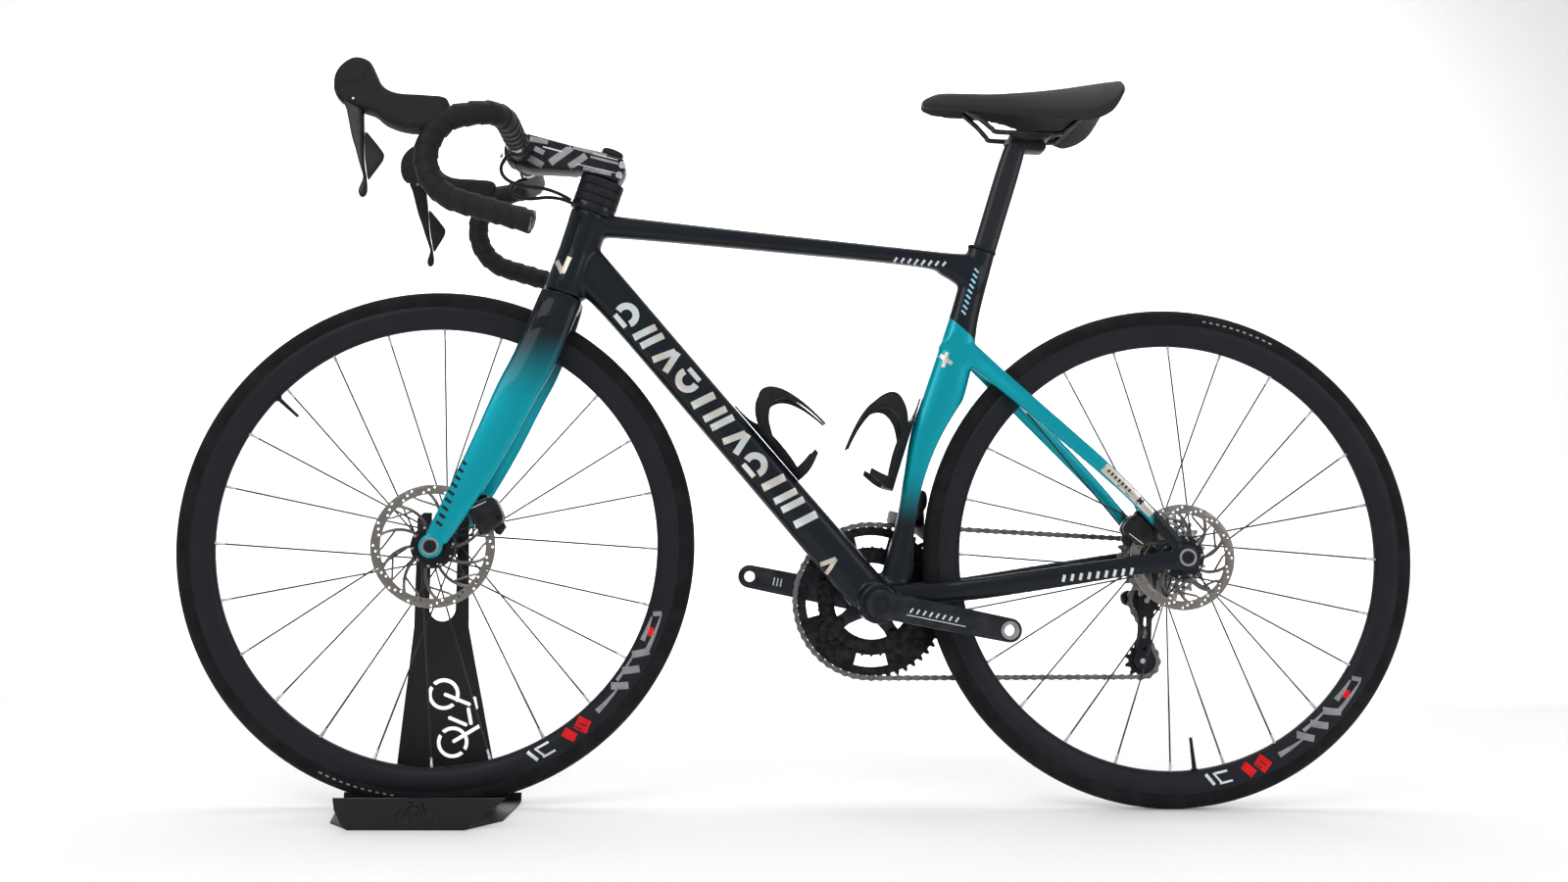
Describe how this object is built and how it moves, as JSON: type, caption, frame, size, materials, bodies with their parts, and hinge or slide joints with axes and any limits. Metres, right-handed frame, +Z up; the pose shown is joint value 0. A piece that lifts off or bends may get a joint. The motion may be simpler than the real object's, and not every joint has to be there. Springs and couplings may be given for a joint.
{
  "type": "road bicycle on stand",
  "caption": "Drop-bar road bicycle with disc brakes, its front wheel held by the hub in a slotted folded sheet-steel display stand.",
  "frame": {"origin": "on the floor, midway between the two wheels, on the bicycle's middle plane", "axes": "+X towards the rear wheel, +Y towards the chain side, +Z up"},
  "size_m": [1.6589, 0.4554, 0.9913],
  "materials": {
    "frame_black": "gloss clear coat over dark blue-black composite",
    "teal": "metallic teal lacquer over composite",
    "stand_black": "satin powder coat",
    "tyre_black": "matt rubber",
    "rim_black": "satin composite",
    "spoke_black": "black steel",
    "alloy_black": "black anodised",
    "alloy_grey": "grey anodised",
    "steel": "brushed steel",
    "rotor_steel": "brushed brake track",
    "pad": "sintered friction pad on a steel plate",
    "grip_black": "textured grip tape",
    "hood_black": "soft moulded rubber",
    "lever_black": "gloss black lever",
    "part_black": "moulded composite",
    "chain_steel": "grey steel",
    "seat_black": "smooth cover over foam",
    "rail_steel": "satin steel"
  },
  "bodies": {
    "stand": {"stand": "stand_black"},
    "fork": {"fork": "teal", "front_axle": "alloy_grey", "headset_bearings": "steel", "headset_spacers": "part_black", "stem": "alloy_black", "stem_faceplate": "alloy_black", "stem_bolts": "steel", "handlebar": "alloy_black", "bar_tape": "grip_black", "lever_hoods": "hood_black", "control_hoses": "part_black", "front_caliper": "alloy_black"},
    "front_pad_outer": {"front_pad_outer": "pad"},
    "front_pad_inner": {"front_pad_inner": "pad"},
    "brake_lever_left": {"brake_lever_left": "lever_black"},
    "brake_lever_right": {"brake_lever_right": "lever_black"},
    "shift_paddle_left": {"shift_paddle_left": "lever_black"},
    "shift_paddle_right": {"shift_paddle_right": "lever_black"},
    "front_wheel": {"front_tyre": "tyre_black", "front_rim": "rim_black", "front_spokes": "spoke_black", "front_hub": "alloy_black", "front_hub_bearings": "steel", "front_rotor": "rotor_steel"},
    "frame": {"head_tube": "frame_black", "top_tube": "frame_black", "down_tube": "frame_black", "seat_tube": "teal", "bottom_bracket_shell": "frame_black", "chainstays": "frame_black", "seatstays": "teal", "crank_bearings": "steel", "rear_axle": "alloy_grey", "rear_caliper": "alloy_black", "bottle_cages": "part_black", "front_derailleur": "alloy_black", "rear_derailleur": "alloy_black", "chain": "chain_steel"},
    "rear_wheel": {"rear_tyre": "tyre_black", "rear_rim": "rim_black", "rear_spokes": "spoke_black", "rear_hub": "alloy_black", "rear_hub_bearings": "steel", "rear_rotor": "rotor_steel"},
    "rear_pad_outer": {"rear_pad_outer": "pad"},
    "rear_pad_inner": {"rear_pad_inner": "pad"},
    "front_derailleur_cage": {"front_derailleur_cage": "chain_steel"},
    "derailleur_link": {"derailleur_link": "alloy_black"},
    "derailleur_cage": {"derailleur_cage": "alloy_black"},
    "guide_pulley": {"guide_pulley": "part_black"},
    "tension_pulley": {"tension_pulley": "part_black"},
    "cassette": {"cassette": "steel"},
    "crank": {"crank_right": "alloy_black", "crank_left": "alloy_black", "chainrings": "alloy_black"},
    "seatpost": {"seatpost": "part_black", "saddle_clamp": "alloy_black"},
    "saddle": {"saddle": "seat_black", "saddle_rails": "rail_steel"}
  },
  "joints": [
    {"name": "lift_out", "type": "slide", "parent": "stand", "child": "fork", "axis": [0, 0, 1], "range_m": [0, 0.45]},
    {"name": "steering", "type": "hinge", "parent": "fork", "child": "frame", "pos_m": [-0.44667, 0, 0.32597], "axis": [0.3007, 0, 0.9537], "range_deg": [-65, 65]},
    {"name": "front_wheel_spin", "type": "hinge", "parent": "fork", "child": "front_wheel", "pos_m": [-0.4915, 0, 0.3401], "axis": [0, -1, 0], "continuous": true},
    {"name": "rear_wheel_spin", "type": "hinge", "parent": "frame", "child": "rear_wheel", "pos_m": [0.4915, 0, 0.338], "axis": [0, -1, 0], "continuous": true},
    {"name": "crank_spin", "type": "hinge", "parent": "frame", "child": "crank", "pos_m": [0.09, 0, 0.272], "axis": [0, -1, 0], "continuous": true, "deforming": ["chain"]},
    {"name": "cassette_spin", "type": "hinge", "parent": "frame", "child": "cassette", "pos_m": [0.4915, 0, 0.338], "axis": [0, -1, 0], "continuous": true},
    {"name": "derailleur_shift", "type": "slide", "parent": "frame", "child": "derailleur_link", "axis": [0, -0.8, -0.6], "range_m": [0, 0.046], "stiffness_N_per_m": 200, "springref_m": -0.02},
    {"name": "derailleur_cage_swing", "type": "hinge", "parent": "derailleur_link", "child": "derailleur_cage", "pos_m": [0.4805, 0, 0.276], "axis": [0, 1, 0], "range_deg": [0, 50], "stiffness_Nm_per_rad": 0.5, "springref_deg": -34.38},
    {"name": "guide_pulley_spin", "type": "hinge", "parent": "derailleur_cage", "child": "guide_pulley", "pos_m": [0.4805, 0, 0.276], "axis": [0, -1, 0], "continuous": true},
    {"name": "tension_pulley_spin", "type": "hinge", "parent": "derailleur_cage", "child": "tension_pulley", "pos_m": [0.4745, 0, 0.192], "axis": [0, -1, 0], "continuous": true},
    {"name": "front_derailleur_shift", "type": "slide", "parent": "frame", "child": "front_derailleur_cage", "axis": [0, -1, 0], "range_m": [0, 0.007]},
    {"name": "brake_lever_left_pull", "type": "hinge", "parent": "fork", "child": "brake_lever_left", "pos_m": [-0.57078, -0.19486, 0.87257], "axis": [0, -0.9863, 0.165], "range_deg": [0, 14], "stiffness_Nm_per_rad": 1, "springref_deg": -11.46},
    {"name": "shift_paddle_left_push", "type": "hinge", "parent": "brake_lever_left", "child": "shift_paddle_left", "pos_m": [-0.55678, -0.2013, 0.83411], "axis": [1, 0, 0], "range_deg": [0, 15], "stiffness_Nm_per_rad": 0.3, "springref_deg": -11.46},
    {"name": "brake_lever_right_pull", "type": "hinge", "parent": "fork", "child": "brake_lever_right", "pos_m": [-0.57078, 0.19486, 0.87257], "axis": [0, -0.9863, -0.165], "range_deg": [0, 14], "stiffness_Nm_per_rad": 1, "springref_deg": -11.46},
    {"name": "shift_paddle_right_push", "type": "hinge", "parent": "brake_lever_right", "child": "shift_paddle_right", "pos_m": [-0.55678, 0.2013, 0.83411], "axis": [-1, 0, 0], "range_deg": [0, 15], "stiffness_Nm_per_rad": 0.3, "springref_deg": -11.46},
    {"name": "front_pad_outer_squeeze", "type": "slide", "parent": "fork", "child": "front_pad_outer", "axis": [0, 1, 0], "range_m": [0, 0.0003]},
    {"name": "front_pad_inner_squeeze", "type": "slide", "parent": "fork", "child": "front_pad_inner", "axis": [0, -1, 0], "range_m": [0, 0.0003]},
    {"name": "rear_pad_outer_squeeze", "type": "slide", "parent": "frame", "child": "rear_pad_outer", "axis": [0, 1, 0], "range_m": [0, 0.0003]},
    {"name": "rear_pad_inner_squeeze", "type": "slide", "parent": "frame", "child": "rear_pad_inner", "axis": [0, -1, 0], "range_m": [0, 0.0003]},
    {"name": "seatpost_height", "type": "slide", "parent": "frame", "child": "seatpost", "axis": [0.284, 0, 0.9588], "range_m": [-0.05, 0.05]},
    {"name": "saddle_fore_aft", "type": "slide", "parent": "seatpost", "child": "saddle", "axis": [1, 0, 0], "range_m": [-0.01, 0.01]}
  ],
  "couplings": [
    {"joint": "cassette_spin", "follows": "crank_spin", "ratio": 4.7273},
    {"joint": "guide_pulley_spin", "follows": "crank_spin", "ratio": -4.7273},
    {"joint": "tension_pulley_spin", "follows": "crank_spin", "ratio": 4.7273},
    {"joint": "front_pad_outer_squeeze", "follows": "brake_lever_left_pull", "m_per_rad": 0.0012032},
    {"joint": "front_pad_inner_squeeze", "follows": "brake_lever_left_pull", "m_per_rad": 0.0012032},
    {"joint": "rear_pad_outer_squeeze", "follows": "brake_lever_right_pull", "m_per_rad": 0.0012032},
    {"joint": "rear_pad_inner_squeeze", "follows": "brake_lever_right_pull", "m_per_rad": 0.0012032}
  ]
}
